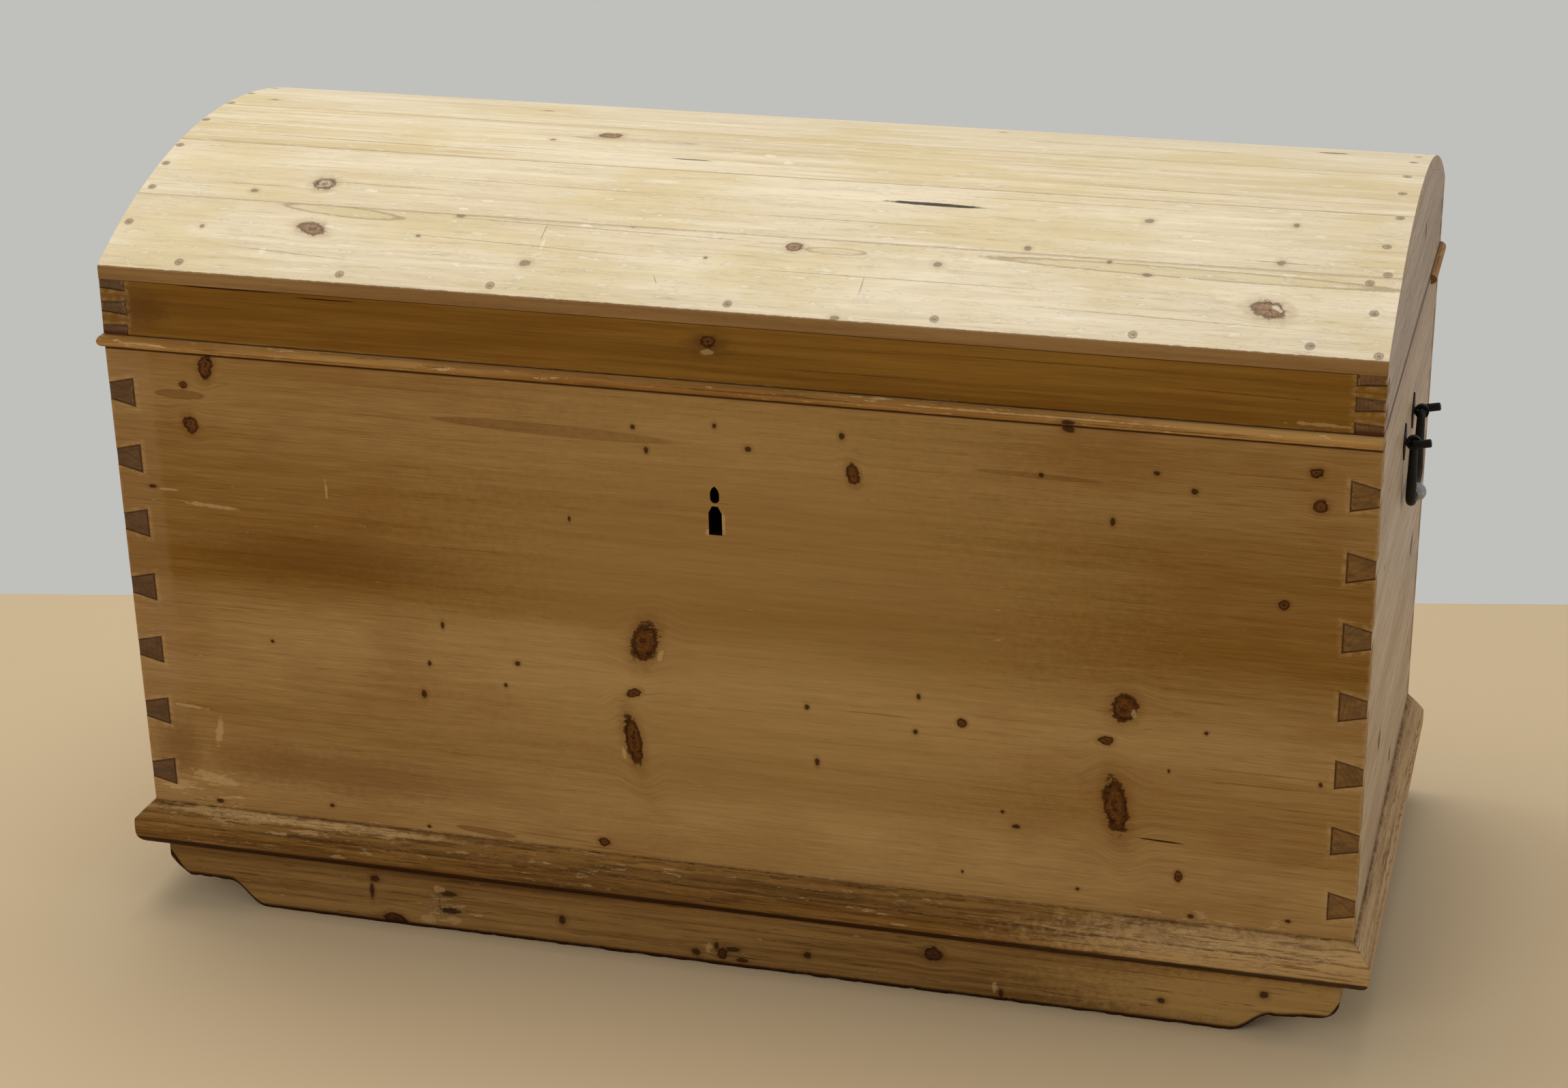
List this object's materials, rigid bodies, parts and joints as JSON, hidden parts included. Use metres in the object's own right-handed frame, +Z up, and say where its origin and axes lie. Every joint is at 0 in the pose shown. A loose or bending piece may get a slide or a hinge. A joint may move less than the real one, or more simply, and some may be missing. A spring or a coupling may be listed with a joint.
{
  "type": "blanket chest",
  "caption": "Domed pine blanket chest: leaning dovetailed case on runners, staved lid on strap hinges, iron drop handles and an inside lock.",
  "frame": {"origin": "on the floor under the centre of the overall length and depth", "axes": "+X along the chest to the right, the front faces -Y, +Z up"},
  "size_m": [1.2532, 0.616, 0.76],
  "materials": {
    "honey_pine": "waxed",
    "pale_pine": "waxed",
    "straw_pine": "worn wax",
    "trim_pine": "worn",
    "black_iron": "hand forged",
    "lock_iron": "dull"
  },
  "bodies": {
    "case": {"front_board": "honey_pine", "back_board": "honey_pine", "bottom_board_front": "honey_pine", "bottom_board_middle": "honey_pine", "bottom_board_rear": "honey_pine", "left_end_board": "pale_pine", "right_end_board": "pale_pine", "front_plinth": "trim_pine", "left_plinth": "trim_pine", "right_plinth": "trim_pine", "front_runner": "trim_pine", "rear_runner": "trim_pine", "front_bead": "trim_pine", "left_bead": "trim_pine", "right_bead": "trim_pine", "left_hinge_case_leaf": "black_iron", "left_hinge_pin": "black_iron", "left_handle_front_eye": "black_iron", "left_handle_rear_eye": "black_iron", "left_handle_front_plate": "black_iron", "left_handle_rear_plate": "black_iron", "right_hinge_case_leaf": "black_iron", "right_hinge_pin": "black_iron", "right_handle_front_eye": "black_iron", "right_handle_rear_eye": "black_iron", "right_handle_front_plate": "black_iron", "right_handle_rear_plate": "black_iron", "lock_plate": "lock_iron", "lock_case": "lock_iron"},
    "lid": {"lid_front_rail": "honey_pine", "lid_back_rail": "honey_pine", "lid_left_end": "pale_pine", "lid_right_end": "pale_pine", "lid_stave_1": "straw_pine", "lid_stave_2": "straw_pine", "lid_stave_3": "straw_pine", "lid_stave_4": "straw_pine", "lid_stave_5": "straw_pine", "lid_stave_6": "straw_pine", "left_hinge_lid_leaf": "black_iron", "right_hinge_lid_leaf": "black_iron", "lock_staple": "lock_iron"},
    "bolt": {"lock_bolt": "lock_iron"},
    "right_handle": {"right_bail": "black_iron"},
    "left_handle": {"left_bail": "black_iron"}
  },
  "joints": [
    {"name": "lid_hinge", "type": "hinge", "parent": "case", "child": "lid", "pos_m": [0, 0.30315, 0.6114], "axis": [-1, 0, 0], "range_deg": [0, 100]},
    {"name": "lock_bolt_slide", "type": "slide", "parent": "case", "child": "bolt", "axis": [1, 0, 0], "range_m": [0, 0.02]},
    {"name": "right_bail_swing", "type": "hinge", "parent": "case", "child": "right_handle", "pos_m": [0.6088, -0.00215, 0.516], "axis": [0, -1, 0], "range_deg": [-2, 90]},
    {"name": "left_bail_swing", "type": "hinge", "parent": "case", "child": "left_handle", "pos_m": [-0.6088, -0.00215, 0.516], "axis": [0, 1, 0], "range_deg": [-2, 90]}
  ]
}
